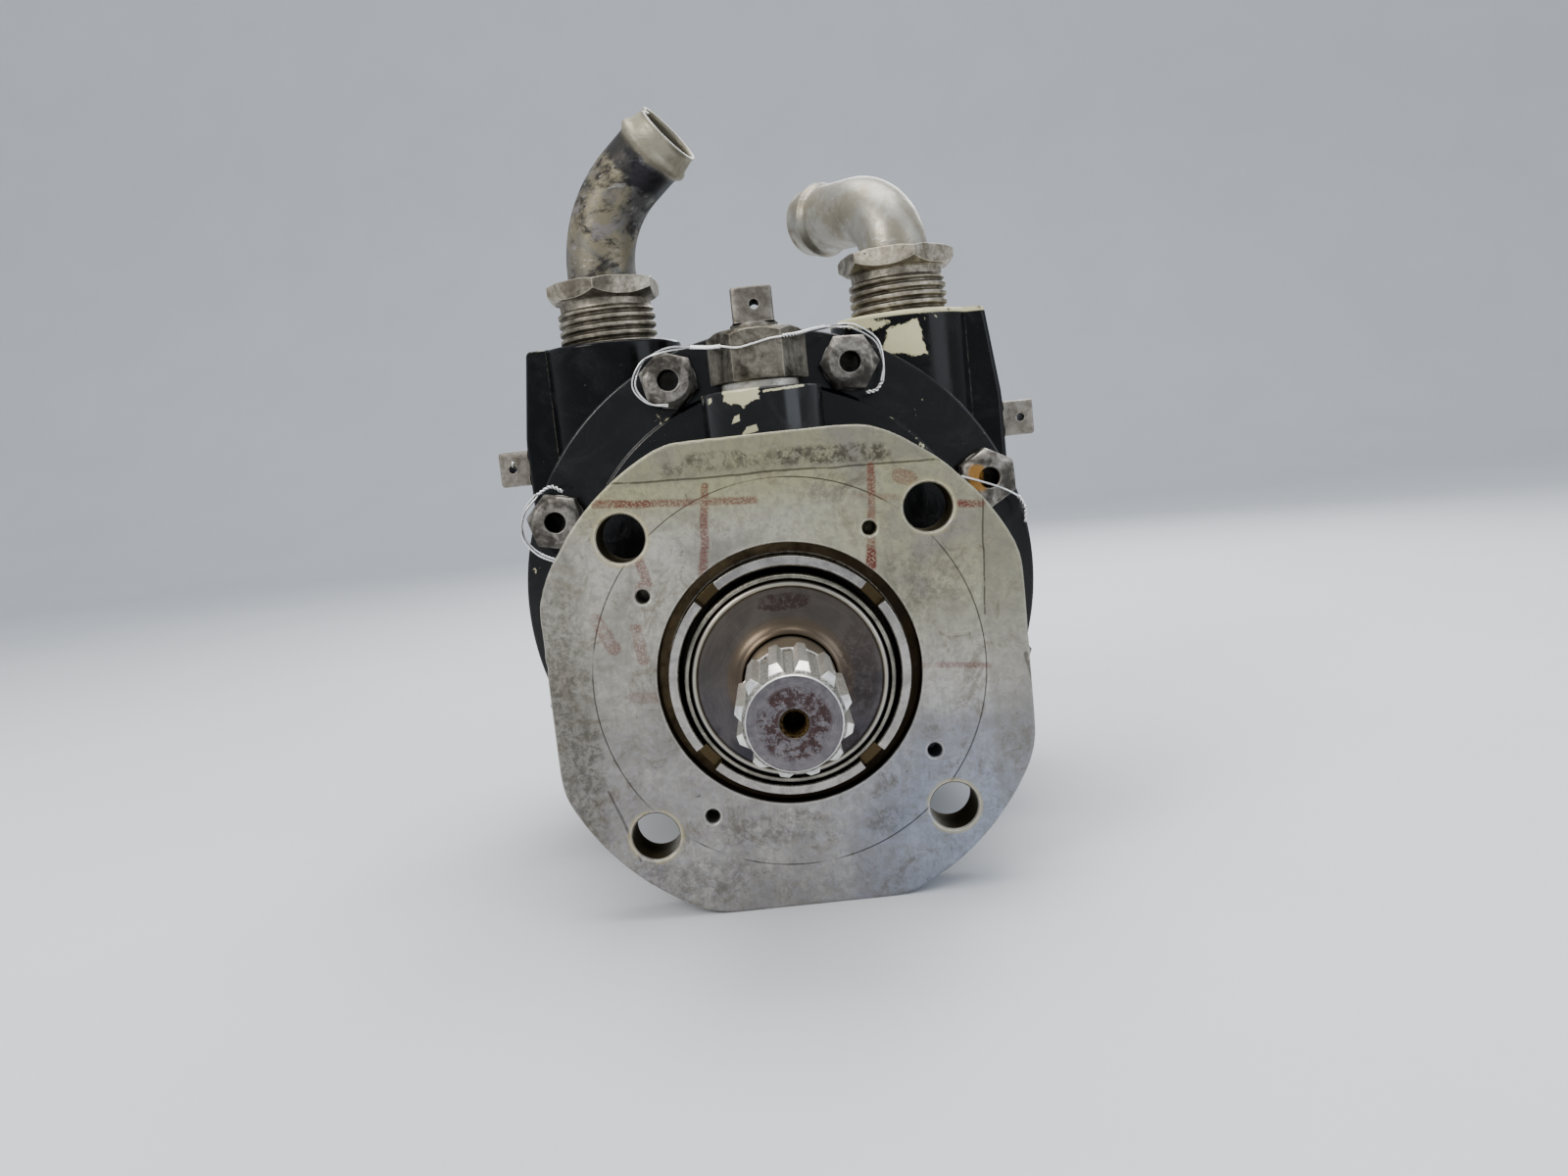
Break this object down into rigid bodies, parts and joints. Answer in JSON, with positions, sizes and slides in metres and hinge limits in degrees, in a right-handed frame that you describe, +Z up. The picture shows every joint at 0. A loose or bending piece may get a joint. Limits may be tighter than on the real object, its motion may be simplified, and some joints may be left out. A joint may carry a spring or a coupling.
{
  "type": "hydraulic motor",
  "caption": "Gear-type hydraulic motor with a square bolt-on flange, splined drive shaft and two bent tube ports on a round bolted case.",
  "frame": {"origin": "centre of the mounting flange's front face, on the drive shaft's axis", "axes": "-Y out of the mounting face along the drive shaft, +Y back through the case, +Z up towards the ports, +X right as seen from the shaft end"},
  "size_m": [0.2012, 0.2196, 0.264],
  "materials": {
    "bare_cover": "bare machined flange face, black paint behind it",
    "black_case": "gloss black paint, chipped to cream primer",
    "fastener_steel": "dull plated steel",
    "plug_steel": "dull plated steel",
    "gland_nut": "stained brown-grey",
    "left_tube": "stained and mottled",
    "right_tube": "satin, whitish grey",
    "ring_nut_steel": "bright turned",
    "carrier_steel": "bright turned",
    "plate_steel": "polished, stained",
    "bearing_steel": "ground and polished",
    "cage_brass": "machined",
    "shaft_steel": "ground, rust-stained nose",
    "gear_steel": "ground tooth flanks",
    "bush_bronze": "machined bronze",
    "block_aluminium": "machined",
    "seal_rubber": "matte black",
    "drain_fitting": "dull, stained",
    "drain_washer": "soft sealing washer",
    "lockwire_steel": "bright drawn wire"
  },
  "bodies": {
    "root": {"bearing_ring_nut": "ring_nut_steel", "case_body": "black_case", "drain_adapter": "drain_fitting", "drain_plug": "plug_steel", "drain_washer": "drain_washer", "end_cover": "black_case", "front_bearing_block": "block_aluminium", "front_bolt_washers": "fastener_steel", "front_case_bolts": "fastener_steel", "front_case_seal": "seal_rubber", "front_cover": "bare_cover", "front_dowel_pins": "fastener_steel", "front_drive_bush": "bush_bronze", "front_driven_bush": "bush_bronze", "left_gland_nut": "gland_nut", "left_lockwire": "lockwire_steel", "left_port_tube": "left_tube", "left_side_plug": "plug_steel", "left_tube_seal": "seal_rubber", "outer_race": "bearing_steel", "rear_bearing_block": "block_aluminium", "rear_bolt_washers": "fastener_steel", "rear_case_bolts": "fastener_steel", "rear_case_seal": "seal_rubber", "rear_dowel_pins": "fastener_steel", "rear_drive_bush": "bush_bronze", "rear_driven_bush": "bush_bronze", "right_gland_nut": "gland_nut", "right_lockwire": "lockwire_steel", "right_port_tube": "right_tube", "right_side_plug": "plug_steel", "right_tube_seal": "seal_rubber", "seal_carrier": "carrier_steel", "seal_cover_plate": "plate_steel", "shaft_seal": "seal_rubber", "top_lockwire": "lockwire_steel"},
    "drive": {"drive_shaft": "shaft_steel", "drive_gear": "gear_steel", "drive_key": "shaft_steel", "inner_race": "bearing_steel", "retaining_ring": "shaft_steel"},
    "driven": {"driven_shaft": "shaft_steel", "driven_gear": "gear_steel", "driven_key": "shaft_steel"},
    "balls": {"bearing_balls": "bearing_steel", "ball_cage": "cage_brass"}
  },
  "joints": [
    {"name": "shaft_spin", "type": "hinge", "parent": "root", "child": "drive", "pos_m": [0, 0, 0], "axis": [0, 1, 0], "continuous": true},
    {"name": "driven_spin", "type": "hinge", "parent": "root", "child": "driven", "pos_m": [0, 0, 0.0381], "axis": [0, 1, 0], "continuous": true},
    {"name": "ball_spin", "type": "hinge", "parent": "root", "child": "balls", "pos_m": [0, 0, 0], "axis": [0, 1, 0], "continuous": true}
  ],
  "couplings": [
    {"joint": "driven_spin", "follows": "shaft_spin", "ratio": -1},
    {"joint": "ball_spin", "follows": "shaft_spin", "ratio": 0.3736}
  ]
}
